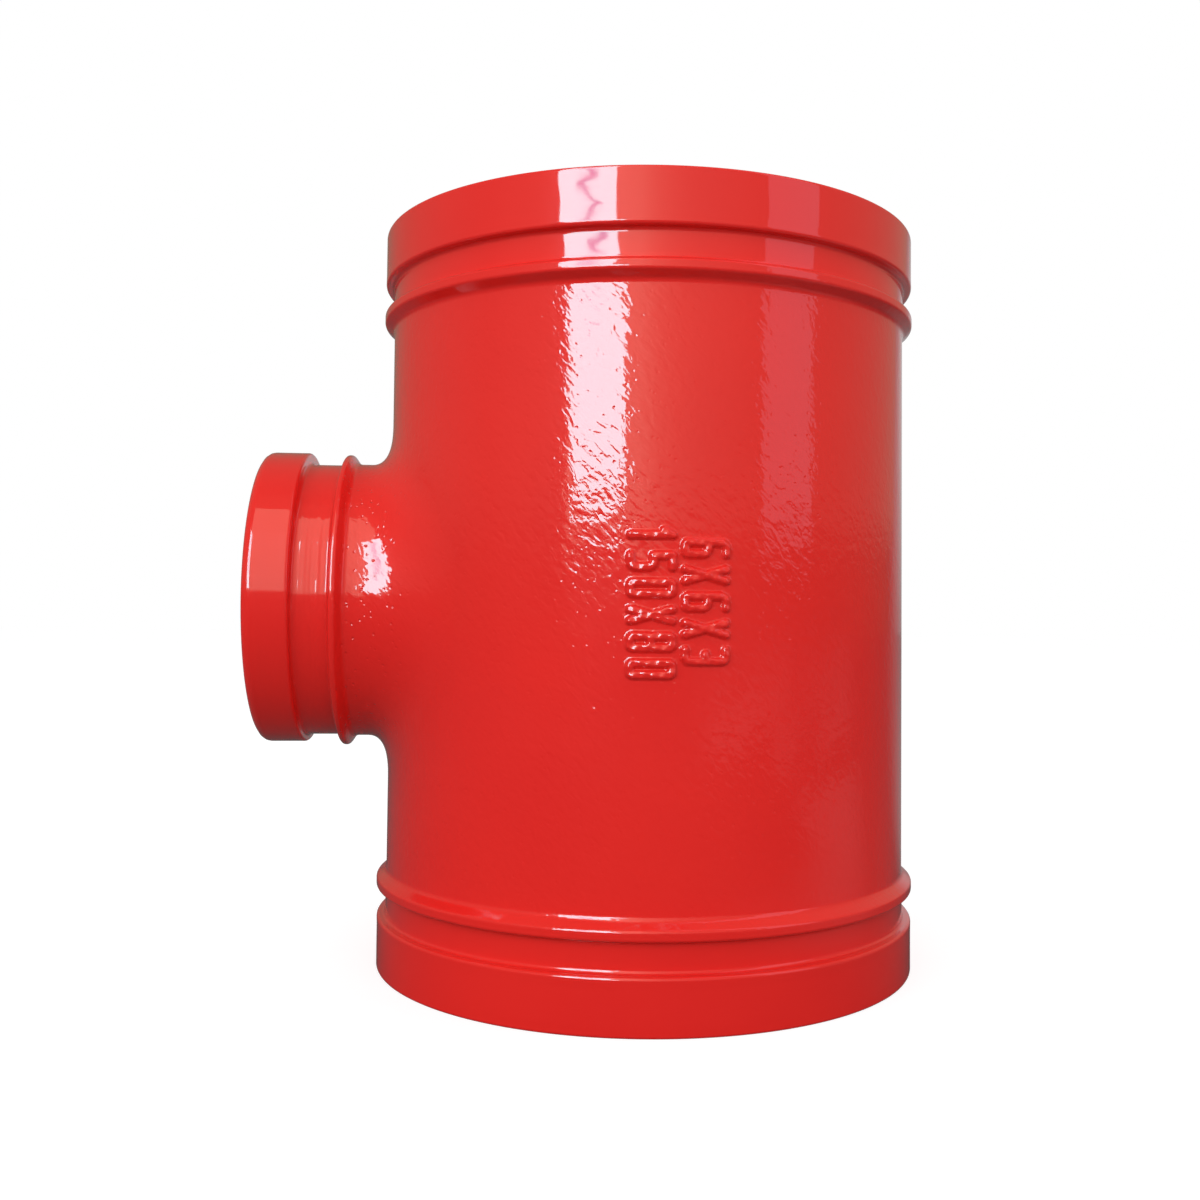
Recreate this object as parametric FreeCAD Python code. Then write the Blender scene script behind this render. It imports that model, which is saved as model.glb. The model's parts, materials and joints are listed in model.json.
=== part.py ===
import FreeCAD, Part
import math
import os

# Grooved reducing tee: one hollow iron casting, with a straight upright run and a smaller
# branch that leaves it at a right angle. Each of its three ends has a land, a groove for a
# coupling's keys and a stop bead. Plain size numbers stand proud on the front of the run.
# The origin is where the two axes cross, +Z is up the run, and the branch points along -X.

# Driving dimensions in millimetres: the pipe sizes that the ends take
run_pipe_d = 165.1
branch_pipe_d = 88.9

# How far the ends stand off: along the run from the branch's surface, and out from the run's
shoulder = 66.65
branch_stub = 34.8

# Metal thickness of the run between its beads, and of the branch's neck
run_wall = 5.4
branch_wall = 4.4

# The run's two ends: land, groove and bead along the axis, and their steps in radius
run_land = 15.9
run_groove_w = 6.8
run_groove_depth = 2.5
run_bead_w = 7.7
run_bead_h = 2.95
run_body_inset = 2.65

# The branch's end, in the same order
branch_land = 12.9
branch_groove_w = 8.0
branch_groove_depth = 2.85
branch_bead_w = 7.1
branch_bead_h = 2.85
branch_body_inset = 2.5

# Raised lip that each land ends in at its groove, and how long its slope is
lip_h = 0.4
lip_slope = 3.2

# Edge rounds of the casting
end_edge_round = 0.6
groove_edge_round = 1.0
groove_corner_round = 0.9
bead_top_share = 0.34
bead_round = 2.0
mouth_round = 1.0
junction_round = 6.0
inner_junction_round = 4.0

# Raised size numbers: a column of them, read downwards, for each pair of sizes
number_height = 12.4
number_width = 4.7
number_pitch = 6.9
number_stroke = 1.7
number_relief = 0.9
number_sink = 1.0
column_gap = 1.6
column_middle_z = -1.2
column_texts = ("150X80", "6X6X3")

# How near two places count as the same when edges are drawn or picked, and how many places
# along an edge are looked at
same_place = 0.001
spots_per_edge = 7

# Sizes that follow from them
run_r = run_pipe_d / 2
branch_r = branch_pipe_d / 2
body_r = run_r - run_body_inset
neck_r = branch_r - branch_body_inset
run_bore_r = body_r - run_wall
branch_bore_r = neck_r - branch_wall
run_half = branch_r + shoulder
branch_reach = run_r + branch_stub


def rounded_path(corners, to_point):
    """Edges through the corners (a, b, radius), each corner replaced by a tangent arc.

    An arc takes no more than half of a leg that it shares with another corner.
    """
    spots = [FreeCAD.Vector(a, b, 0) for a, b, _ in corners]
    last = len(corners) - 1
    ends = []
    for i, spot in enumerate(spots):
        if i in (0, last) or corners[i][2] == 0:
            ends.append((spot, None, spot))
            continue
        back = spots[i - 1] - spot
        ahead = spots[i + 1] - spot
        room_back = back.Length if i == 1 else back.Length / 2
        room_ahead = ahead.Length if i == last - 1 else ahead.Length / 2
        half_angle = back.getAngle(ahead) / 2
        tangent = min(corners[i][2] / math.tan(half_angle), room_back, room_ahead)
        radius = tangent * math.tan(half_angle)
        back.normalize()
        ahead.normalize()
        inward = back + ahead
        inward.normalize()
        middle = spot + inward * (radius / math.sin(half_angle) - radius)
        ends.append((spot + back * tangent, middle, spot + ahead * tangent))
    edges = []
    for i, (start, middle, finish) in enumerate(ends):
        if i and start.distanceToPoint(ends[i - 1][2]) > same_place:
            edges.append(Part.LineSegment(to_point(ends[i - 1][2]), to_point(start)).toShape())
        if middle:
            edges.append(Part.Arc(to_point(start), to_point(middle), to_point(finish)).toShape())
    return edges


def grooved_outside(reach, pipe_r, inset, land, groove_w, groove_depth, bead_w, bead_h):
    """Half of a pipe's outside as a solid of revolution about Z, from z = 0 up to its end."""
    groove_r = pipe_r - groove_depth
    body = pipe_r - inset
    crest = body + bead_h
    lip_r = pipe_r + lip_h
    groove_far = reach - land - groove_w
    bead_foot = groove_far - bead_w
    bead_middle = groove_far - bead_w / 2
    crest_half = bead_w * bead_top_share / 2
    corners = [
        (0, 0, 0),
        (body, 0, 0),
        (body, bead_foot, bead_round),
        (crest, bead_middle - crest_half, bead_round),
        (crest, bead_middle + crest_half, bead_round),
        (groove_r, groove_far, bead_round),
        (groove_r, reach - land, groove_corner_round),
        (lip_r, reach - land, groove_edge_round),
        (pipe_r, reach - land + lip_slope, lip_slope),
        (pipe_r, reach, end_edge_round),
        (0, reach, 0),
        (0, 0, 0),
    ]
    edges = rounded_path(corners, lambda p: FreeCAD.Vector(p.x, 0, p.y))
    face = Part.Face(Part.Wire(edges))
    return face.revolve(FreeCAD.Vector(0, 0, 0), FreeCAD.Vector(0, 0, 1), 360)


def junction_edges(shape, around_run, around_branch):
    """Edges that lie both on the run's cylinder and on the branch's, whose radii are given."""
    found = []
    for edge in shape.Edges:
        spots = edge.discretize(spots_per_edge)
        on_run = all(abs(math.hypot(p.x, p.y) - around_run) < same_place for p in spots)
        on_branch = all(abs(math.hypot(p.y, p.z) - around_branch) < same_place for p in spots)
        if on_run and on_branch:
            found.append(edge)
    return found


def front_of(shape):
    """The half of a shape in front of the plane that holds both axes."""
    size = 2 * (branch_reach + run_half)
    front = Part.makeBox(size, size, size, FreeCAD.Vector(-size / 2, -size, -size / 2))
    return shape.common(front)


def front_outside():
    """The front half of the run's and the branch's outside skins, blended where they meet."""
    half = grooved_outside(run_half, run_r, run_body_inset, run_land, run_groove_w,
                           run_groove_depth, run_bead_w, run_bead_h)
    lower = half.mirror(FreeCAD.Vector(0, 0, 0), FreeCAD.Vector(0, 0, 1))
    branch = grooved_outside(branch_reach, branch_r, branch_body_inset, branch_land, branch_groove_w,
                             branch_groove_depth, branch_bead_w, branch_bead_h)
    branch.rotate(FreeCAD.Vector(0, 0, 0), FreeCAD.Vector(0, 1, 0), -90)
    outside = front_of(half.fuse([lower, branch]).removeSplitter())
    neck_room = branch_reach - branch_land - branch_groove_w - branch_bead_w - body_r
    blend = min(junction_round, neck_room - bead_round / 2)
    return outside.makeFillet(blend, junction_edges(outside, body_r, neck_r))


def front_waterways():
    """The front half of the space inside: the run's bore and the branch's, blended where they meet."""
    run = Part.makeCylinder(run_bore_r, 2 * run_half, FreeCAD.Vector(0, 0, -run_half))
    branch = Part.makeCylinder(branch_bore_r, branch_reach, FreeCAD.Vector(0, 0, 0),
                               FreeCAD.Vector(-1, 0, 0))
    water = front_of(run.fuse(branch).removeSplitter())
    return water.makeFillet(inner_junction_round, junction_edges(water, run_bore_r, branch_bore_r))


def mouth_edges(shape):
    """The inner edges of the three end faces, which are circles as large as the bores."""
    found = []
    for edge in shape.Edges:
        if not isinstance(edge.Curve, Part.Circle):
            continue
        middle = edge.Curve.Center
        off_run = max(abs(abs(middle.z) - run_half), abs(edge.Curve.Radius - run_bore_r))
        off_branch = max(abs(middle.x + branch_reach), abs(edge.Curve.Radius - branch_bore_r))
        if min(off_run, off_branch) < same_place:
            found.append(edge)
    return found


# Each number as strokes through corners (across, up), in shares of its width and height,
# with True where the stroke turns its corners in round bends
number_strokes = {
    "0": [([(0.5, 1), (0, 1), (0, 0), (0.5, 0)], True), ([(0.5, 1), (1, 1), (1, 0), (0.5, 0)], True)],
    "1": [([(0.15, 0.8), (0.55, 1), (0.55, 0)], False)],
    "3": [([(0, 1), (1, 1), (1, 0.5), (0.4, 0.5)], True), ([(0.4, 0.5), (1, 0.5), (1, 0), (0, 0)], True)],
    "5": [([(1, 1), (0, 1), (0, 0.55)], False), ([(0, 0.55), (1, 0.55), (1, 0), (0, 0)], True)],
    "6": [([(1, 1), (0, 1), (0, 0), (0.5, 0)], True), ([(0, 0.55), (1, 0.55), (1, 0), (0.5, 0)], True)],
    "8": [([(0.5, 1), (0, 1), (0, 0.5), (0.5, 0.5)], True), ([(0.5, 1), (1, 1), (1, 0.5), (0.5, 0.5)], True),
          ([(0.5, 0.5), (0, 0.5), (0, 0), (0.5, 0)], True), ([(0.5, 0.5), (1, 0.5), (1, 0), (0.5, 0)], True)],
    "X": [([(0, 1), (0.5, 0.5), (0, 0)], False), ([(1, 1), (0.5, 0.5), (1, 0)], False)],
}


def raised_numbers():
    """Both columns as solids that rise from inside the wall to their relief on the run's front."""
    line_width = number_width - number_stroke
    line_height = number_height - number_stroke
    bars = []
    for column, text in enumerate(column_texts):
        base_x = number_stroke / 2 + (column_gap / 2 if column else -column_gap / 2 - number_height)
        top_z = column_middle_z + (len(text) * number_pitch - number_pitch + line_width) / 2
        for place, character in enumerate(text):
            start_z = top_z - place * number_pitch
            for corners, bends in number_strokes[character]:
                bend = line_width / 2 if bends else 0
                path = [(across * line_width, up * line_height, bend) for across, up in corners]
                edges = rounded_path(path, lambda p: FreeCAD.Vector(base_x + p.y, -run_r - number_relief,
                                                                    start_z - p.x))
                flat = Part.Wire(edges).makeOffset2D(number_stroke / 2, 0, True)
                bars.append(flat.extrude(FreeCAD.Vector(0, run_r, 0)))
    low = column_middle_z - run_half
    skin = Part.makeCylinder(body_r + number_relief, 2 * run_half, FreeCAD.Vector(0, 0, low))
    inside = Part.makeCylinder(body_r - number_sink, 2 * run_half, FreeCAD.Vector(0, 0, low))
    return bars[0].fuse(bars[1:]).common(skin.cut(inside))


# The casting's front half: its outside, less the waterways, with its mouths' inner edges rounded
front_half = front_outside().cut(front_waterways())
front_half = front_half.makeFillet(mouth_round, mouth_edges(front_half))

# The whole casting: that half, its mirror image behind, and the numbers
back_half = front_half.mirror(FreeCAD.Vector(0, 0, 0), FreeCAD.Vector(0, 1, 0))
tee = front_half.fuse([back_half, raised_numbers()])
tee_body = tee.Solids[0]

os.makedirs("parts", exist_ok=True)
tee_body.exportStep("parts/tee_body.step")
print("solids", len(tee.Solids), "valid", tee_body.isValid(), "volume mm3", round(tee_body.Volume))
print("box", tee_body.optimalBoundingBox())
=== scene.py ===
import json
import math

import bpy
import numpy as np
from mathutils import Matrix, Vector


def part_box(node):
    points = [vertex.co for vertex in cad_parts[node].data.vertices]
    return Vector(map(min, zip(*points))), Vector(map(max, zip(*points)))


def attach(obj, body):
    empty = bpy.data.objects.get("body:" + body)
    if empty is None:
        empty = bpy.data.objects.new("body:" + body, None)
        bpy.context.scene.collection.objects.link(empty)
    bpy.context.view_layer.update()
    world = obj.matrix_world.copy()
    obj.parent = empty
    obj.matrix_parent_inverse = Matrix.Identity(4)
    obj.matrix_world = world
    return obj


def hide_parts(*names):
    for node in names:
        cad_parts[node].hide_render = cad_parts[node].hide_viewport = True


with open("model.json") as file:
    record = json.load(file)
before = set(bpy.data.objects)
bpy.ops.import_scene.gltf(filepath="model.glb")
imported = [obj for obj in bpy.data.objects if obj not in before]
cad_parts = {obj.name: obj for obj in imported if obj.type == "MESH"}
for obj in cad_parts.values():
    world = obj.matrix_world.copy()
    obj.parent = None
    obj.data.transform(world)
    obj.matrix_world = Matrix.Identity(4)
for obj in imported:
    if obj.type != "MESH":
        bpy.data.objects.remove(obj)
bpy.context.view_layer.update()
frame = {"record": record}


# The casting: one hollow piece of ductile iron, poured in sand round cores, with the lands and
# grooves of its three ends turned smooth and the rest left as cast. Size numbers stand proud on
# the front. All of it is dipped in red enamel. Sizes are in millimetres.
MM = 0.001
mounts = {mount["name"]: mount["dims"] for mount in frame["record"]["mounts"]}
low_corner, high_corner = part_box("tee_body")
run_r = mounts["run_top_end"]["r_mm"]
branch_r = mounts["branch_end"]["r_mm"]
run_bore_r = mounts["run_bore"]["r_mm"]
branch_bore_r = mounts["branch_bore"]["r_mm"]
run_half = high_corner.z / MM
branch_reach = -low_corner.x / MM

# Land, groove and bead of a run's end and of the branch's end: the bead stands up steeply from the
# groove and slopes down to the body, and the tool left a trace of a lip where the land ends
run_end = dict(inset=2.65, land=15.4, groove_w=8.0, groove_depth=2.5, bead_w=5.6, bead_h=2.9,
               bead_rise=0.8, bead_drop=2.2, lip_h=0.08, end_round=0.6)
branch_end = dict(inset=2.5, land=13.1, groove_w=10.4, groove_depth=2.85, bead_w=4.0, bead_h=2.85,
                  bead_rise=0.6, bead_drop=1.9, lip_h=0.02, end_round=2.5)
body_r = run_r - run_end["inset"]
neck_r = branch_r - branch_end["inset"]
lip_slope = 3.2

# The rounds between them, from the bead's foot to the mouth's inner edge
foot_round = 1.8
crest_round = 1.0
crest_edge_round = 0.8
rise_round = 0.7
corner_round = 1.0
edge_round = 0.9
mouth_round = 1.0


def touching_curve(start, corner, finish, weight, steps):
    """Points from start to finish on the conic that touches the legs to the corner between them.

    At t it is ((1-t)^2 start + 2t(1-t) w corner + t^2 finish) over the same sum of the weights:
    a parabola for w = 1, and a circle for w = cosine of half the turn.
    """
    t = np.linspace(0, 1, steps + 1).reshape((-1,) + (1,) * np.ndim(start))
    a, b, c = (1 - t) ** 2, 2 * t * (1 - t) * weight, t ** 2
    return (a * start + b * corner + c * finish) / (a + b + c)


def rounded_line(corners, longest_step):
    """Points along straight legs through the corners (a, b, round), with an arc in each corner.

    An arc starts its round times the tangent of half the turn before the corner, but not past the
    middle of a leg. Each leg has a point close to either end, to hold the arcs.
    """
    arc_steps = 4
    most_of_leg = 0.49
    close = 0.3
    spots = np.array([corner[:2] for corner in corners], float)
    arcs = [spots[:1]]
    for before, here, after, (_, _, radius) in zip(spots, spots[1:], spots[2:], corners[1:-1]):
        back, ahead = before - here, after - here
        back_length, ahead_length = np.hypot(*back), np.hypot(*ahead)
        turn = math.pi - math.acos(back @ ahead / (back_length * ahead_length))
        reach = min(radius * math.tan(turn / 2), most_of_leg * min(back_length, ahead_length))
        start, finish = here + back / back_length * reach, here + ahead / ahead_length * reach
        arcs.append(touching_curve(start, here, finish, math.cos(turn / 2), arc_steps))
    arcs.append(spots[-1:])
    points = arcs[:1]
    for arc in arcs[1:]:
        leg_start = points[-1][-1]
        leg = arc[0] - leg_start
        length = np.hypot(*leg)
        even = np.linspace(0, 1, max(math.ceil(length / longest_step), 1) + 1)[1:-1]
        held = [close / length, 1 - close / length] if length > 4 * close else []
        shares = np.array(sorted([*even, *held]))
        points += [leg_start + shares[:, None] * leg, arc]
    return np.concatenate(points)


def grooved_end(start, reach, pipe_r, bore_r, inset, land, groove_w, groove_depth, bead_w, bead_h,
                bead_rise, bead_drop, lip_h, end_round):
    """Profile (radius, distance) of an end: from its body at the distance start, over the bead,
    the groove, the lip and the land, round the mouth, and back down the bore to start."""
    longest_step = 4.5
    body, crest, groove_floor = pipe_r - inset, pipe_r - inset + bead_h, pipe_r - groove_depth
    groove_far = reach - land - groove_w
    bead_foot = groove_far - bead_w
    corners = [
        (body, start, 0),
        (body, bead_foot, foot_round),
        (crest, bead_foot + bead_drop, crest_round),
        (crest, groove_far - bead_rise, crest_edge_round),
        (groove_floor, groove_far, rise_round),
        (groove_floor, reach - land, corner_round),
        (pipe_r + lip_h, reach - land, edge_round),
        (pipe_r, reach - land + lip_slope, lip_slope),
        (pipe_r, reach, end_round),
        (bore_r, reach, mouth_round),
        (bore_r, start, 0),
    ]
    return rounded_line(corners, longest_step)


# The run is a closed profile turned about Z: up its outside, over the top end, down its bore and
# round the bottom end. The angle is 0 at the front (-Y) and grows towards +X.
turns = 216
cell_z = 2.0
plain_half = 76.0
plain_z = np.arange(-plain_half, plain_half + cell_z / 2, cell_z)
upper_end = grooved_end(plain_half, run_half, run_r, run_bore_r, **run_end)[1:-1]
profile = np.concatenate([
    np.stack([np.full_like(plain_z, body_r), plain_z], 1),
    upper_end,
    np.stack([np.full_like(plain_z, run_bore_r), -plain_z], 1),
    (upper_end * (1, -1))[::-1],
])
run_angle = np.arange(turns) * 2 * math.pi / turns
rows = len(profile)
number_of = np.arange(rows * turns).reshape(rows, turns)


def on_run(radius, angle, height):
    """Point at a radius, an angle from the front and a height: (r sin a, -r cos a, z)."""
    return np.stack([radius * np.sin(angle), -radius * np.cos(angle), height + 0 * angle], -1)


def run_vertex(row, column):
    """Number of a vertex of the run's grid, which closes on itself both ways."""
    return number_of[np.asarray(row) % rows, np.asarray(column) % turns]


run_points = on_run(profile[:, :1], run_angle, profile[:, 1:])

# Two windows in the run's grid, one outside and one inside, where the branch joins it: their
# middles, and how many cells they reach to each side
window_cells = 30
middle_row = len(plain_z) // 2
inner_middle_row = len(plain_z) + len(upper_end) + middle_row
branch_column = turns - turns // 4

# The branch is a strip of rings. Each ring follows the edge of the window outside, anticlockwise
# as seen from outside, and the last one is the edge of the window inside.
climb = np.arange(-window_cells, window_cells)
low_side, high_side = np.full_like(climb, -window_cells), np.full_like(climb, window_cells)
around_column = np.concatenate([climb, high_side, -climb, low_side])
around_row = np.concatenate([low_side, climb, high_side, -climb])
edge_arc = around_column * 2 * math.pi / turns
edge_z = around_row * cell_z
theta = np.arctan2(edge_z, edge_arc * body_r)
outer_edge = run_vertex(middle_row + around_row, branch_column + around_column)
inner_edge = run_vertex(inner_middle_row - around_row, branch_column + around_column)

# Where the branch blends into the run outside and inside: how far the blend reaches along the
# branch and along the run, at its top and bottom and, wider, at its front and back
outer_blend = dict(along_branch=(6.0, 16.0), along_run=(12.0, 14.5), steps=14)
inner_blend = dict(along_branch=(4.0, 7.0), along_run=(4.0, 6.0), steps=8)


def blend_rings(big_r, small_r, drop, along_branch, along_run, steps):
    """Rings from the foot of the blend on the run to its start on the branch.

    At each angle they lie on a parabola that touches the branch's own line there and the plane
    that touches the run at the foot, which stands along_run further out than the branch.
    """
    share = np.cos(theta) ** 2
    foot_r = small_r + along_run[0] + (along_run[1] - along_run[0]) * share
    foot_front, foot_z = foot_r * np.cos(theta), foot_r * np.sin(theta) + drop
    foot_x = -np.sqrt(big_r ** 2 - foot_front ** 2)
    front, height = small_r * np.cos(theta), small_r * np.sin(theta) + drop
    corner_x = (big_r ** 2 - front * foot_front) / foot_x
    start_x = corner_x - along_branch[0] - (along_branch[1] - along_branch[0]) * share
    foot = np.stack([foot_x, -foot_front, foot_z], -1)
    corner = np.stack([corner_x, -front, height], -1)
    start = np.stack([start_x, -front, height], -1)
    return touching_curve(foot, corner, start, 1.0, steps)


def skin_rings(big_r, foot):
    """Rings on the run's own round surface between the window's edge and the blend's foot, in even
    steps of angle and height."""
    steps = 5
    foot_angle = np.arctan2(-foot[:, 1], -foot[:, 0])
    share = np.linspace(0, 1, steps + 1)[1:-1, None]
    angle = edge_arc + share * (foot_angle - edge_arc) - math.pi / 2
    height = edge_z + share * (foot[:, 2] - edge_z)
    return on_run(big_r, angle, height)


def straight_rings(near, far, steps):
    """The rings between two rings, in even steps of the straight way from one to the other."""
    share = np.linspace(0, 1, steps + 1)[1:-1, None, None]
    return near + share * (far - near)


# The branch's own end is a profile turned about the branch's axis, from a little before its bead.
# The mould's halves met a little off true, so all of the branch behind its land sits lower. Places
# nearer to each other than the slack count as one.
bead_lead = 2.4
neck_drop = -0.7
slack = 0.01
neck_steps, bore_steps = 3, 6
land_start = branch_reach - branch_end["land"]
neck_end = land_start - branch_end["groove_w"] - branch_end["bead_w"] - bead_lead
branch_profile = grooved_end(neck_end, branch_reach, branch_r, branch_bore_r, **branch_end)
ring_r, ring_reach = branch_profile[:, :1], branch_profile[:, 1:]
groove_r = branch_r - branch_end["groove_depth"]
out_of_groove = np.clip((ring_r - groove_r) / branch_end["groove_depth"], 0, 1)
on_land = np.maximum.accumulate(np.where(ring_reach > land_start - slack, out_of_groove, 0))
branch_rings = np.stack([
    -ring_reach + 0 * theta,
    -ring_r * np.cos(theta),
    ring_r * np.sin(theta) + neck_drop * (1 - on_land),
], -1)
blend_out = blend_rings(body_r, neck_r, neck_drop, **outer_blend)
blend_in = blend_rings(run_bore_r, branch_bore_r, 0.0, **inner_blend)
rings = np.concatenate([
    skin_rings(body_r, blend_out[0]),
    blend_out,
    straight_rings(blend_out[-1], branch_rings[0], neck_steps),
    branch_rings,
    straight_rings(branch_rings[-1], blend_in[-1], bore_steps),
    blend_in[::-1],
    skin_rings(run_bore_r, blend_in[0])[::-1],
])
own_numbers = rows * turns + np.arange(rings.shape[0] * rings.shape[1]).reshape(rings.shape[:2])
ring_numbers = np.concatenate([outer_edge[None], own_numbers, inner_edge[None]])

# The raised size numbers: a column for each pair of sizes, read downwards with the tops of the
# numbers to the right. Strokes go through corners (across, up), in shares of width and height,
# and True marks the strokes whose corners are round bends.
number_height = 12.4
number_width = 4.7
number_pitch = 6.9
number_stroke = 1.7
number_relief = 1.15
column_gap = 1.6
column_middle_z = -1.2
column_texts = ("150X80", "6X6X3")
number_strokes = {
    "0": [([(0.5, 1), (0, 1), (0, 0), (0.5, 0)], True),
          ([(0.5, 1), (1, 1), (1, 0), (0.5, 0)], True)],
    "1": [([(0.15, 0.8), (0.55, 1), (0.55, 0)], False)],
    "3": [([(0, 1), (1, 1), (1, 0.5), (0.4, 0.5)], True),
          ([(0.4, 0.5), (1, 0.5), (1, 0), (0, 0)], True)],
    "5": [([(1, 1), (0, 1), (0, 0.55)], False),
          ([(0, 0.55), (1, 0.55), (1, 0), (0, 0)], True)],
    "6": [([(1, 1), (0, 1), (0, 0), (0.5, 0)], True),
          ([(0, 0.55), (1, 0.55), (1, 0), (0.5, 0)], True)],
    "8": [([(0.5, 1), (0, 1), (0, 0.5), (0.5, 0.5)], True),
          ([(0.5, 1), (1, 1), (1, 0.5), (0.5, 0.5)], True),
          ([(0.5, 0.5), (0, 0.5), (0, 0), (0.5, 0)], True),
          ([(0.5, 0.5), (1, 0.5), (1, 0), (0.5, 0)], True)],
    "X": [([(0, 1), (0.5, 0.5), (0, 0)], False),
          ([(1, 1), (0.5, 0.5), (1, 0)], False)],
}


def number_lines():
    """Both columns' strokes as arrays of points (x, z) on the front, in millimetres."""
    longest_step = 1.5
    sharp = 0.01
    line_width, line_height = number_width - number_stroke, number_height - number_stroke
    lines = []
    for column, text in enumerate(column_texts):
        base_x = number_stroke / 2 + (column_gap / 2 if column else -column_gap / 2 - number_height)
        top_z = column_middle_z + (len(text) * number_pitch - number_pitch + line_width) / 2
        for place, character in enumerate(text):
            for corners, bends in number_strokes[character]:
                bend = line_width / 2 if bends else sharp
                path = [(across * line_width, up * line_height, bend) for across, up in corners]
                points = rounded_line(path, longest_step)
                x, z = base_x + points[:, 1], top_z - place * number_pitch - points[:, 0]
                lines.append(np.stack([x, z], 1))
    return lines


def distance_to_lines(spots, lines):
    """For each spot, the distance to the nearest straight piece of any line: the length of what is
    left of the way to the piece's start once its part along the piece is taken off."""
    never_zero = 1e-9
    nearest = np.full(len(spots), np.inf)
    for line in lines:
        start, way = line[:-1], np.diff(line, axis=0)
        off = spots[:, None] - start
        along = np.clip((off * way).sum(-1) / np.maximum((way ** 2).sum(-1), never_zero), 0, 1)
        left = off - along[..., None] * way
        nearest = np.minimum(nearest, np.sqrt((left ** 2).sum(-1)).min(1))
    return nearest


# A finer grid at the front carries them. Its skin stands out by the relief times the root of 1 less
# the cube of how far a spot lies from a stroke's middle, as a share of the way to its edge. The
# sand that they were cast in leaves low lumps: two crossing waves, in radians per millimetre.
fine = 6
number_edge = 0.3
lump_share = 0.15
lump_waves = (1.7, 0.8), (-0.8, 1.9)
rows_below, rows_above, half_columns = 13, 11, 7
first_row, last_row = middle_row - rows_below, middle_row + rows_above
fine_z = np.linspace(plain_z[first_row], plain_z[last_row], fine * (last_row - first_row) + 1)
fine_column = np.linspace(-half_columns, half_columns, 2 * fine * half_columns + 1)
grid_z, grid_angle = np.meshgrid(fine_z, fine_column * 2 * math.pi / turns, indexing="ij")
spots = np.stack([body_r * np.sin(grid_angle).ravel(), grid_z.ravel()], 1)
off_middle = distance_to_lines(spots, number_lines()) / (number_stroke / 2 + number_edge)
eased = np.sqrt(np.clip(1 - off_middle ** 3, 0, 1))
lumps = np.sin(spots @ lump_waves[0]) * np.sin(spots @ lump_waves[1])
proud = number_relief * eased * (1 + lump_share * lumps)
fine_points = on_run(body_r + proud.reshape(grid_z.shape), grid_angle, grid_z)

# It shares the run's own vertices where they meet along its edge
coarse_rows = np.arange(first_row, last_row + 1)
coarse_columns = np.arange(-half_columns, half_columns + 1)
fine_numbers = own_numbers.max() + 1 + np.arange(grid_z.size).reshape(grid_z.shape)
fine_numbers[::fine, [0, -1]] = run_vertex(coarse_rows[:, None], coarse_columns[[0, -1]])
fine_numbers[[0, -1], ::fine] = run_vertex(coarse_rows[[0, -1]][:, None], coarse_columns)


def quads(numbers):
    """Four corners for each cell between neighbouring rows and columns of vertex numbers."""
    corners = [numbers[:-1, :-1], numbers[:-1, 1:], numbers[1:, 1:], numbers[1:, :-1]]
    return np.stack(corners, -1).reshape(-1, 4)


def border_cells(fine_line, row, column, reverse):
    """Cells of the run's grid beside the finer one: each takes the finer grid's points of its own
    edge as more corners."""
    count = (len(fine_line) - 1) // fine
    spans = fine_line[np.arange(count)[:, None] * fine + np.arange(fine + 1)]
    away = run_vertex(row, column)
    cells = np.concatenate([spans, np.stack([away[1:], away[:-1]], 1)], 1)
    return cells[:, ::-1] if reverse else cells


# The cells below and above the finer grid, and to the left and right of it
border = np.concatenate([
    border_cells(fine_numbers[0], first_row - 1, coarse_columns, True),
    border_cells(fine_numbers[-1], last_row + 1, coarse_columns, False),
    border_cells(fine_numbers[:, 0], coarse_rows, -half_columns - 1, False),
    border_cells(fine_numbers[:, -1], coarse_rows, half_columns + 1, True),
])

# The other cells of the run's grid: all but those, the finer grid's place and the two windows
kept = np.ones((rows, turns), bool)
for row in (middle_row, inner_middle_row):
    kept[row - window_cells:row + window_cells, branch_column + climb] = False
kept[first_row - 1:last_row + 1, coarse_columns[:-1]] = False
kept[first_row:last_row, [-half_columns - 1, half_columns]] = False
cell_row, cell_column = np.nonzero(kept)
run_cells = np.stack([
    run_vertex(cell_row, cell_column), run_vertex(cell_row, cell_column + 1),
    run_vertex(cell_row + 1, cell_column + 1), run_vertex(cell_row + 1, cell_column),
], -1)
closed_rings = np.concatenate([ring_numbers, ring_numbers[:, :1]], 1)
four_sided = np.concatenate([run_cells, quads(closed_rings), quads(fine_numbers)])
all_points = np.concatenate([part.reshape(-1, 3) for part in (run_points, rings, fine_points)])


def solid_mesh(name, points, faces):
    """A mesh in metres of the points that its faces use, all shaded smooth, and those points."""
    used = np.zeros(len(points), bool)
    for group in faces:
        used[group] = True
    renumber = np.cumsum(used) - 1
    corners = sum((renumber[group].tolist() for group in faces), [])
    mesh = bpy.data.meshes.new(name)
    mesh.from_pydata((points[used] * MM).tolist(), [], corners)
    mesh.shade_smooth()
    return mesh, points[used]


tee_mesh, tee_points = solid_mesh("tee_casting", all_points, [four_sided, border])
tee = bpy.data.objects.new("tee_casting", tee_mesh)
bpy.context.scene.collection.objects.link(tee)


def keep_on_points(name, values):
    """Stores a number for each point of the casting, for its enamel to read."""
    layer = tee_mesh.attributes.new(name, "FLOAT", "POINT")
    layer.data.foreach_set("value", values.astype(np.float32))


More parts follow.
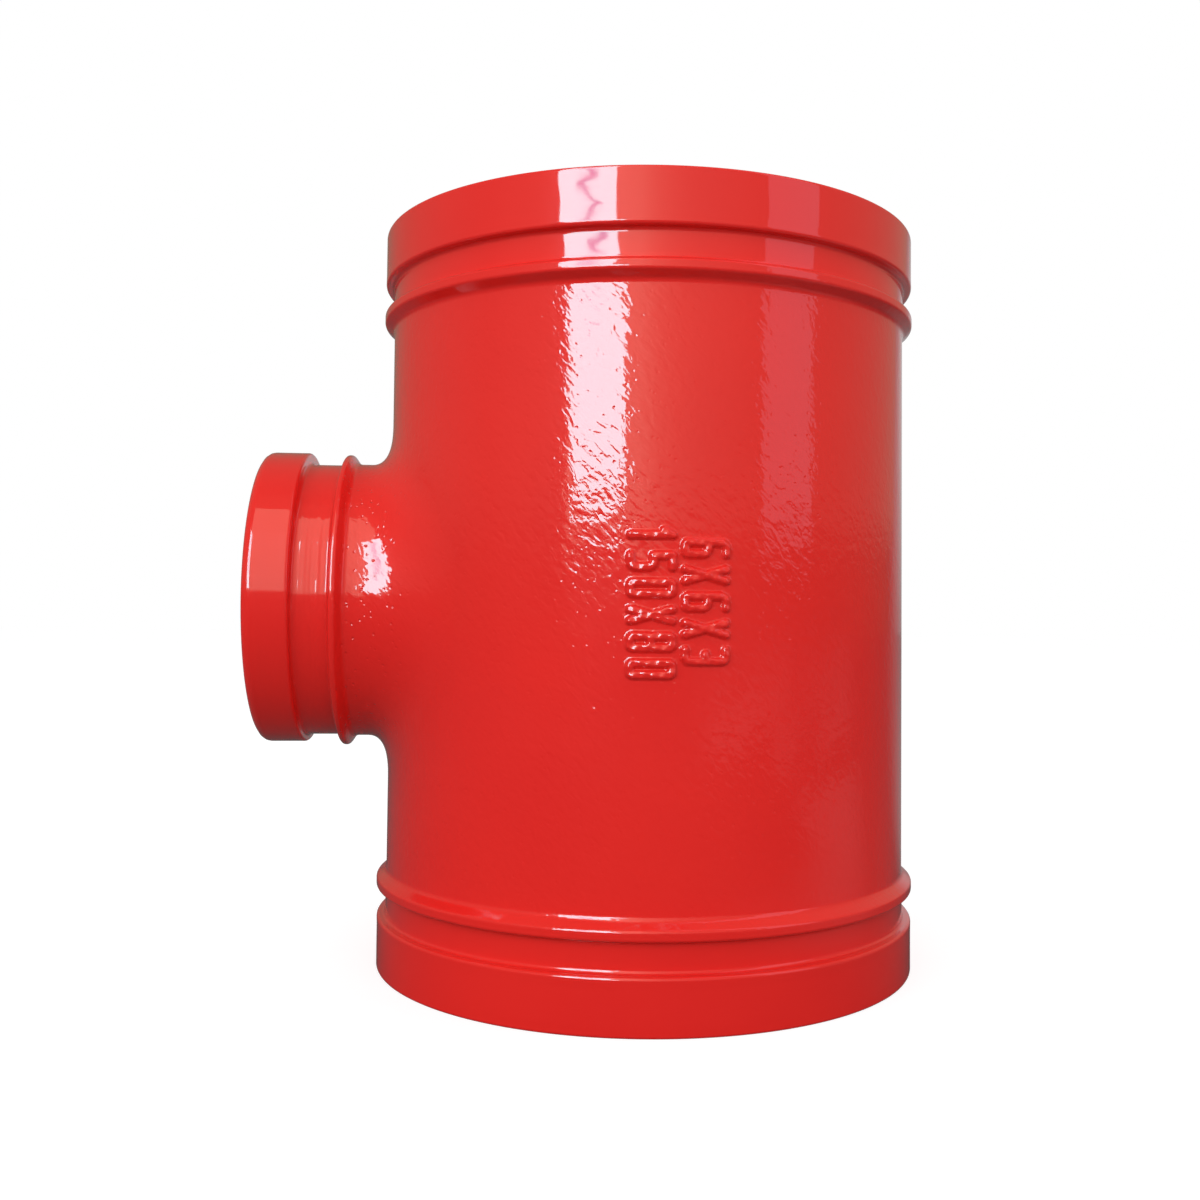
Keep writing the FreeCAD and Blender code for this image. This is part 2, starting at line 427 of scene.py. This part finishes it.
# How much of the sand's texture a spot keeps: none where the tool turned the lands and grooves,
# from a share of the bead's width on, and all of it elsewhere, bores included
turned_share = 0.4
skin_change = 0.8
bore_skin = 0.5
run_bead = run_half - run_end["land"] - run_end["groove_w"] - run_end["bead_w"] * turned_share
branch_bead = neck_end + bead_lead + branch_end["bead_w"] * (1 - turned_share)
out_on_branch = -tee_points[:, 0]
from_run_axis = np.hypot(tee_points[:, 0], tee_points[:, 1])
from_branch_axis = np.hypot(tee_points[:, 1], tee_points[:, 2])
past_bead = np.maximum(np.abs(tee_points[:, 2]) - run_bead, out_on_branch - branch_bead)
turned = np.clip(past_bead / skin_change + 0.5, 0, 1)
in_run_bore = from_run_axis < run_bore_r + bore_skin
in_branch_bore = (from_branch_axis < branch_bore_r + bore_skin) & (out_on_branch > 0)
in_bore = in_run_bore | in_branch_bore
keep_on_points("as_cast", np.where(in_bore, 1.0, 1 - turned))

# How pitted a spot is: more on the neck, where the sand was coarser
pitted_run, pitted_neck = 0.55, 3.4
pitted_from, pitted_full = 70.0, 82.0
pitted_reach, pitted_fade = neck_r + 12.0, 6.0
out_along = np.clip((out_on_branch - pitted_from) / (pitted_full - pitted_from), 0, 1)
near_neck = np.clip((pitted_reach - from_branch_axis) / pitted_fade, 0, 1)
keep_on_points("pitted", pitted_run + (pitted_neck - pitted_run) * out_along * near_neck)

# Where the tool left rings that the paint doesn't hide: on the floor of the branch's groove
groove_skin = 0.8
in_groove = (out_on_branch > branch_bead) & (out_on_branch < land_start)
on_floor = from_branch_axis < groove_r + groove_skin
keep_on_points("ringed", in_groove & on_floor & ~in_bore)


def linear(hex_colour):
    """The linear colour of an sRGB hex value: ((c + 0.055) / 1.055) ^ 2.4, or c / 12.92 when dark."""
    parts = [int(hex_colour[i:i + 2], 16) / 255 for i in (0, 2, 4)]
    return [c / 12.92 if c < 0.04045 else ((c + 0.055) / 1.055) ** 2.4 for c in parts] + [1.0]


def add_node(tree, kind, settings=(), **sockets):
    """Adds a node and sets its properties. Each input, named or given as i and its number, gets a
    value, an output, or the first output of a node."""
    made = tree.nodes.new(kind)
    for name, value in dict(settings).items():
        setattr(made, name, value)
    for name, value in sockets.items():
        socket = made.inputs[int(name[1:]) if name[1:].isdigit() else name.replace("_", " ")]
        if isinstance(value, bpy.types.Node):
            value = value.outputs[0]
        if isinstance(value, bpy.types.NodeSocket):
            tree.links.new(value, socket)
        else:
            socket.default_value = value
    return made


def red_enamel():
    """Gloss red enamel on cast iron: a clear, hard gloss over an even red. The paint levels out on
    the turned lands, but shows the tool's rings in the branch's groove. Over the cast skin it
    follows the sand's slanted grain and small pits, so that a reflection breaks up into specks at
    its edges. Each height is a share of the grain's, which is the bump's distance in metres."""
    material = bpy.data.materials.new("gloss_red_enamel")
    material.use_nodes = True
    tree = material.node_tree
    tree.nodes.clear()
    place = add_node(tree, "ShaderNodeTexCoord").outputs["Object"]
    as_cast, pitted, ringed = (
        add_node(tree, "ShaderNodeAttribute", dict(attribute_name=name)).outputs["Fac"]
        for name in ("as_cast", "pitted", "ringed"))

    grain_mm, grain_stretch, grain_height_mm = 1.8, 2.0, 0.08
    grain_slant = math.radians(-43)
    slanted = add_node(tree, "ShaderNodeMapping", dict(vector_type="TEXTURE"), Vector=place,
                       Rotation=(0, grain_slant, 0), Scale=(1, 1, grain_stretch))
    grain = add_node(tree, "ShaderNodeTexNoise", Vector=slanted, Scale=1 / (grain_mm * MM), Detail=1.5,
                     Roughness=0.5, Distortion=0.5)

    pit_mm, pit_r_mm, pit_depth_mm = 2.2, 0.55, 0.05
    cells = add_node(tree, "ShaderNodeTexVoronoi", Vector=place, Scale=1 / (pit_mm * MM))
    pits = add_node(tree, "ShaderNodeMapRange", dict(interpolation_type="SMOOTHSTEP"),
                    Value=cells.outputs["Distance"], From_Min=0.0, From_Max=pit_r_mm / pit_mm,
                    To_Min=-pit_depth_mm / grain_height_mm, To_Max=0.0)
    skin = add_node(tree, "ShaderNodeMath", dict(operation="MULTIPLY_ADD"), i0=pits, i1=pitted,
                    i2=grain)
    cast_skin = add_node(tree, "ShaderNodeMath", dict(operation="MULTIPLY"), i0=skin, i1=as_cast)

    ring_mm, ring_depth_mm, ring_spread = 1.8, 0.15, 0.02
    squeezed = add_node(tree, "ShaderNodeMapping", Vector=place, Scale=(1, ring_spread, ring_spread))
    tool_rings = add_node(tree, "ShaderNodeTexNoise", Vector=squeezed, Scale=1 / (ring_mm * MM),
                          Detail=1.0)
    ring_share = add_node(tree, "ShaderNodeMath", dict(operation="MULTIPLY"), i0=ringed,
                          i1=ring_depth_mm / grain_height_mm)
    iron = add_node(tree, "ShaderNodeMath", dict(operation="MULTIPLY_ADD"), i0=tool_rings,
                    i1=ring_share, i2=cast_skin)

    ripple_mm, ripple_share = 9.0, 0.48
    ripple = add_node(tree, "ShaderNodeTexNoise", Vector=place, Scale=1 / (ripple_mm * MM), Detail=1.0)
    paint = add_node(tree, "ShaderNodeMath", dict(operation="MULTIPLY_ADD"), i0=ripple, i1=ripple_share,
                     i2=iron)
    bump = add_node(tree, "ShaderNodeBump", Strength=1.0, Distance=grain_height_mm * MM, Height=paint)

    patch_mm = 45.0
    patches = add_node(tree, "ShaderNodeTexNoise", Vector=place, Scale=1 / (patch_mm * MM), Detail=3.0)
    red = add_node(tree, "ShaderNodeMix", dict(data_type="RGBA"), i0=patches, i6=linear("D9201D"),
                   i7=linear("E32720"))
    gloss = add_node(
        tree, "ShaderNodeBsdfPrincipled", Base_Color=red.outputs[2], Roughness=0.3, IOR=1.5,
        Specular_IOR_Level=0.1, Coat_Weight=1.0, Coat_Roughness=0.035, Coat_IOR=1.5, Normal=bump,
        Coat_Normal=bump)
    add_node(tree, "ShaderNodeOutputMaterial", Surface=gloss)
    return material


tee_mesh.materials.append(red_enamel())
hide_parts("tee_body")
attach(tee, "root")


# The floor: a large sheet of matt paper that the tee stands on. The camera sees it as white, with
# the tee's soft shadow on it. In the gloss it shows painted light and shade: painted dark in front,
# painted paler behind the tee, and painted pools of light in patches to the right.
floor_half = 6.0
floor_z = low_corner.z
floor_corners = [(-floor_half, -floor_half, floor_z), (floor_half, -floor_half, floor_z),
                 (floor_half, floor_half, floor_z), (-floor_half, floor_half, floor_z)]
floor_mesh = bpy.data.meshes.new("floor")
floor_mesh.from_pydata(floor_corners, [], [(0, 1, 2, 3)])
floor = bpy.data.objects.new("floor", floor_mesh)
bpy.context.scene.collection.objects.link(floor)
paper = bpy.data.materials.new("matt_paper")
paper.use_nodes = True
sheet = paper.node_tree
sheet.nodes.clear()
floor_rays = add_node(sheet, "ShaderNodeLightPath").outputs
floor_spot = add_node(sheet, "ShaderNodeTexCoord").outputs["Object"]
outward = add_node(sheet, "ShaderNodeVectorMath", dict(operation="NORMALIZE"), i0=floor_spot)

# Its painted light in the gloss grows towards one direction, behind the tee, and painted pools of
# light lie in patches round another, to the right
white_way = (0.35, 1.0, -0.3)
white_from, white_full = 0.78, 1.05
# Painted shade in front and painted light behind the tee, seen only in the gloss
floor_front_gloss_shade, floor_back_painted_light = 0.1, 0.28
lit_way, lit_from, lit_full = (0.8, -0.6, 0.0), 0.7, 0.9
painted_pool_light, painted_pools_per_m = 0.22, 3.0
patch_from, patch_full = 0.42, 0.56
floor_behind = add_node(sheet, "ShaderNodeVectorMath", dict(operation="DOT_PRODUCT"), i0=outward,
                        i1=white_way)
painted_gloss_light = add_node(sheet, "ShaderNodeMapRange", dict(interpolation_type="SMOOTHSTEP"),
                      Value=floor_behind.outputs["Value"], From_Min=white_from, From_Max=white_full,
                      To_Min=floor_front_gloss_shade, To_Max=floor_back_painted_light)
aside = add_node(sheet, "ShaderNodeVectorMath", dict(operation="DOT_PRODUCT"), i0=outward, i1=lit_way)
lit = add_node(sheet, "ShaderNodeMapRange", dict(interpolation_type="SMOOTHSTEP"),
               Value=aside.outputs["Value"], From_Min=lit_from, From_Max=lit_full)
# Painted pools of light on the floor, seen only in the gloss
clouds = add_node(sheet, "ShaderNodeTexNoise", Vector=floor_spot, Scale=painted_pools_per_m, Detail=1.0)
painted_pools = add_node(sheet, "ShaderNodeMapRange", dict(interpolation_type="SMOOTHSTEP"), Value=clouds,
                       From_Min=patch_from, From_Max=patch_full, To_Max=painted_pool_light)
# The floor's painted light and shade in the gloss: the painted pools added to its grey
in_gloss = add_node(sheet, "ShaderNodeMath", dict(operation="MULTIPLY_ADD"), i0=lit, i1=painted_pools,
                    i2=painted_gloss_light)

# Its own grey keeps the light that it throws back from bleaching the red. The camera sees a paler
# grey, of which the light brings out a share, and a glow that makes up the rest to white.
floor_grey = 0.2
floor_seen_grey = 0.4
floor_lit_share = 0.72
unseen = add_node(sheet, "ShaderNodeMix", dict(data_type="FLOAT"), i0=floor_rays["Is Glossy Ray"],
                  i2=floor_grey, i3=in_gloss)
shade = add_node(sheet, "ShaderNodeMix", dict(data_type="FLOAT"), i0=floor_rays["Is Camera Ray"],
                 i2=unseen, i3=floor_seen_grey)
grey = add_node(sheet, "ShaderNodeBsdfDiffuse", Color=shade)
lift = add_node(sheet, "ShaderNodeMath", dict(operation="MULTIPLY"), i0=floor_rays["Is Camera Ray"],
                i1=1.0 - floor_lit_share * floor_seen_grey)
white = add_node(sheet, "ShaderNodeEmission", Color=(1, 1, 1, 1), Strength=lift)
lifted = add_node(sheet, "ShaderNodeAddShader", i0=grey, i1=white)
add_node(sheet, "ShaderNodeOutputMaterial", Surface=lifted)
floor_mesh.materials.append(paper)


# The light: a white studio, paler round the horizon than overhead. In the gloss it shows as a dim
# room with a tall bright window, a glow, a pale strip and white behind the tee. Azimuths are
# degrees from the front, positive to the right, and elevations are degrees from the horizon.
world = bpy.data.worlds.new("studio")
bpy.context.scene.world = world
world.use_nodes = True
sky = world.node_tree
sky.nodes.clear()
direction = add_node(sky, "ShaderNodeTexCoord").outputs["Generated"]
split = add_node(sky, "ShaderNodeSeparateXYZ", Vector=direction).outputs
to_front = add_node(sky, "ShaderNodeMath", dict(operation="MULTIPLY"), i0=split["Y"], i1=-1.0)
turn_right = add_node(sky, "ShaderNodeMath", dict(operation="ARCTAN2"), i0=split["X"], i1=to_front)
azimuth = add_node(sky, "ShaderNodeMath", dict(operation="MULTIPLY"), i0=turn_right, i1=math.degrees(1))
turn_up = add_node(sky, "ShaderNodeMath", dict(operation="ARCSINE"), i0=split["Z"])
elevation = add_node(sky, "ShaderNodeMath", dict(operation="MULTIPLY"), i0=turn_up, i1=math.degrees(1))


def past(value, edge, soft=0.5):
    """1 where the value is past the edge and 0 before it, with a smooth step of the given width."""
    off = add_node(sky, "ShaderNodeMath", dict(operation="SUBTRACT"), i0=value, i1=edge)
    return add_node(sky, "ShaderNodeMapRange", dict(interpolation_type="SMOOTHSTEP"), Value=off,
                    From_Min=-soft / 2, From_Max=soft / 2)


def between(value, first, last, soft=0.5):
    """1 where the value lies between two edges and 0 elsewhere. The first edge may be softer."""
    return add_node(sky, "ShaderNodeMath", dict(operation="SUBTRACT"), i0=past(value, first, soft),
                    i1=past(value, last))


# The walls: dark below their foot, dim above it, and dimmer far to the left
wall_above, wall_left, wall_below = 0.28, 0.18, 0.1
wall_dark_to = (-75.0, -45.0)
wall_foot, wall_foot_soft = 3.5, 2.5
side_walls = add_node(sky, "ShaderNodeMapRange", Value=azimuth, From_Min=wall_dark_to[0],
                      From_Max=wall_dark_to[1], To_Min=wall_left, To_Max=wall_above)
walls = add_node(sky, "ShaderNodeMapRange", dict(interpolation_type="SMOOTHSTEP"), Value=elevation,
                 From_Min=wall_foot - wall_foot_soft / 2, From_Max=wall_foot + wall_foot_soft / 2,
                 To_Min=wall_below, To_Max=side_walls)

# The glow on them beside the window fades to the right, by a factor of e over its reach
glow_level, glow_reach, glow_most = 0.67, 12.0, 1.45
glow_left, glow_top = -40.0, 68.0
fading = add_node(sky, "ShaderNodeMath", dict(operation="MULTIPLY_ADD"), i0=azimuth, i1=-1 / glow_reach,
                  i2=math.log(glow_level))
endless_glow = add_node(sky, "ShaderNodeMath", dict(operation="EXPONENT"), i0=fading)
capped_glow = add_node(sky, "ShaderNodeMath", dict(operation="MINIMUM"), i0=endless_glow, i1=glow_most)
glow = add_node(sky, "ShaderNodeMath", dict(operation="MULTIPLY"), i0=capped_glow,
                i1=past(azimuth, glow_left))
glow_height = between(elevation, wall_foot, glow_top, wall_foot_soft)
room = add_node(sky, "ShaderNodeMath", dict(operation="MULTIPLY_ADD"), i0=glow, i1=glow_height,
                i2=walls)

# White behind the tee, brighter higher up. The room is a little warmer than it, and the pale strip
# to the right a little cooler.
white_low, white_high, white_top = 0.3, 1.0, 22.0
strip_left, strip_right, strip_level = 44.0, 68.5, 0.7
room_blue_share, strip_blue_share = 0.78, 1.3
room_behind = add_node(sky, "ShaderNodeVectorMath", dict(operation="DOT_PRODUCT"), i0=direction,
                       i1=white_way)
white_level = add_node(sky, "ShaderNodeMapRange", Value=elevation, From_Min=0.0, From_Max=white_top,
                       To_Min=white_low, To_Max=white_high)
behind = add_node(sky, "ShaderNodeMapRange", dict(interpolation_type="SMOOTHSTEP"),
                  Value=room_behind.outputs["Value"], From_Min=white_from, From_Max=white_full,
                  To_Max=white_level)
pale_room = add_node(sky, "ShaderNodeMath", dict(operation="MAXIMUM"), i0=room, i1=behind)
strip_height = past(elevation, wall_foot, wall_foot_soft)
strip = add_node(sky, "ShaderNodeMath", dict(operation="MULTIPLY"), i0=strip_height,
                 i1=between(azimuth, strip_left, strip_right))
pale = add_node(sky, "ShaderNodeMath", dict(operation="MULTIPLY_ADD"), i0=strip, i1=strip_level,
                i2=pale_room)
warm_room = add_node(sky, "ShaderNodeMath", dict(operation="MULTIPLY"), i0=room, i1=room_blue_share)
room_blue = add_node(sky, "ShaderNodeMath", dict(operation="MAXIMUM"), i0=warm_room, i1=behind)
blue = add_node(sky, "ShaderNodeMath", dict(operation="MULTIPLY_ADD"), i0=strip,
                i1=strip_level * strip_blue_share, i2=room_blue)
dim = add_node(sky, "ShaderNodeCombineXYZ", X=pale, Y=pale, Z=blue)

# The window, and a thin bar before its upper part. Each upright edge leans: it is given as its
# elevation and azimuth at two places.
window_level, window_tint = 18.0, (0.35, 0.92, 1.03)
window_left = (6.0, -37.0), (19.0, -43.3)
window_right = (14.0, -15.0), (17.0, -19.2)
window_foot, window_top = 5.1, 46.0
bar_tint, bar_width = (0.02, 0.2, 0.42), 3.4
bar_right = (15.9, -22.5), (19.2, -27.5)
left_edge, right_edge, bar_line = (
    add_node(sky, "ShaderNodeMapRange", Value=elevation, From_Min=low[0], From_Max=high[0],
             To_Min=low[1], To_Max=high[1])
    for low, high in (window_left, window_right, bar_right))
window = add_node(sky, "ShaderNodeMath", dict(operation="MULTIPLY"),
                  i0=between(azimuth, left_edge, right_edge),
                  i1=between(elevation, window_foot, window_top))

# The wavy paint of the turned ends shows the bar as a zigzag, which is drawn into the bar itself:
# it swings to the left of its line and back, once in each period of elevation
bar_swing, bar_period, bar_peak = 8.0, 1.25, 18.15
below_peak = add_node(sky, "ShaderNodeMath", dict(operation="SUBTRACT"), i0=elevation, i1=bar_peak)
swing = add_node(sky, "ShaderNodeMath", dict(operation="PINGPONG"), i0=below_peak, i1=bar_period / 2)
bar_middle = add_node(sky, "ShaderNodeMath", dict(operation="MULTIPLY_ADD"), i0=swing,
                      i1=-bar_swing / (bar_period / 2), i2=bar_line)
off_bar = add_node(sky, "ShaderNodeMath", dict(operation="SUBTRACT"), i0=azimuth, i1=bar_middle)
bar = add_node(sky, "ShaderNodeMath", dict(operation="MULTIPLY"),
               i0=between(off_bar, -bar_width / 2, bar_width / 2), i1=past(elevation, bar_right[0][0]))
bright = add_node(sky, "ShaderNodeMix", dict(data_type="RGBA"), i0=bar,
                  i6=[window_level * share for share in window_tint] + [1.0],
                  i7=[window_level * share for share in bar_tint] + [1.0])
studio = add_node(sky, "ShaderNodeMix", dict(data_type="RGBA"), i0=window, i6=dim, i7=bright.outputs[2])

# What the camera sees is plain white. What falls on the paint is even, and a little less from the
# right and from above.
fill_low, fill_right, fill_high = 1.0, 0.85, 0.6
sky_rays = add_node(sky, "ShaderNodeLightPath").outputs
fill_side = add_node(sky, "ShaderNodeMapRange", Value=split["X"], To_Min=fill_low, To_Max=fill_right)
fill = add_node(sky, "ShaderNodeMapRange", Value=split["Z"], To_Min=fill_side, To_Max=fill_high)
plain = add_node(sky, "ShaderNodeMix", dict(data_type="FLOAT"), i0=sky_rays["Is Camera Ray"], i2=fill,
                 i3=1.0)
shown = add_node(sky, "ShaderNodeMix", dict(data_type="RGBA"), i0=sky_rays["Is Glossy Ray"], i6=plain,
                 i7=studio.outputs[2])
shining = add_node(sky, "ShaderNodeBackground", Color=shown.outputs[2], Strength=1.0)
add_node(sky, "ShaderNodeOutputWorld", Surface=shining)


def placed(right, up, back, place):
    """The matrix whose columns are an object's own three directions and its place."""
    return Matrix(np.column_stack([right, up, back, place]).tolist() + [[0, 0, 0, 1]])


def lamp(name, azimuths, elevations, distance, brightness):
    """A soft upright lamp that faces the tee's axis and doesn't show in the gloss. It fills the
    azimuths and elevations given, as seen from the origin."""
    left, right = (math.radians(a) for a in azimuths)
    bottom, top = (distance * math.tan(math.radians(a)) for a in elevations)
    middle, half = (left + right) / 2, (right - left) / 2
    light = bpy.data.lights.new(name, "AREA")
    light.shape = "RECTANGLE"
    light.size, light.size_y = 2 * distance * math.tan(half), top - bottom
    light.energy = brightness * math.pi * light.size * light.size_y
    made = bpy.data.objects.new(name, light)
    away = np.array([math.sin(middle), -math.cos(middle), 0.0])
    across = np.array([math.cos(middle), math.sin(middle), 0.0])
    made.matrix_world = placed(across, (0, 0, 1), away, away * distance + (0, 0, (bottom + top) / 2))
    made.visible_glossy = False
    bpy.context.scene.collection.objects.link(made)


# A lamp in front, a smaller one high on the right and a weak one on the left, each with how far it
# stands from the tee's axis in metres and how bright it is
lamp("front_lamp", (-70, 36), (0, 42), 1.1, 1.62)
lamp("right_lamp", (60, 110), (30, 60), 0.6, 1.15)
lamp("left_lamp", (-125, -75), (0, 45), 0.8, 0.55)


# The camera, as the photograph's outline gives it: place, turn, tilt and lens
photo_size = 1200
photo_focal = 1260.5
photo_middle = (632.3, 569.2)
camera_place = np.array([-42.80, -400.08, -4.23]) * MM
turn, tilt, roll = (math.radians(a) for a in (5.49, 2.0, 0.522))
forward = np.array([math.sin(turn) * math.cos(tilt), math.cos(turn) * math.cos(tilt), math.sin(tilt)])
level = np.array([math.cos(turn), -math.sin(turn), 0.0])
upright = np.cross(level, forward)
camera_right = math.cos(roll) * level + math.sin(roll) * upright
camera_up = math.cos(roll) * upright - math.sin(roll) * level
camera_data = bpy.data.cameras.new("camera")
camera_data.lens = photo_focal / photo_size * camera_data.sensor_width
camera_data.shift_x = 0.5 - photo_middle[0] / photo_size
camera_data.shift_y = photo_middle[1] / photo_size - 0.5
camera = bpy.data.objects.new("camera", camera_data)
camera.matrix_world = placed(camera_right, camera_up, -forward, camera_place)
bpy.context.scene.collection.objects.link(camera)
bpy.context.scene.camera = camera
bpy.context.scene.view_settings.view_transform = "Standard"
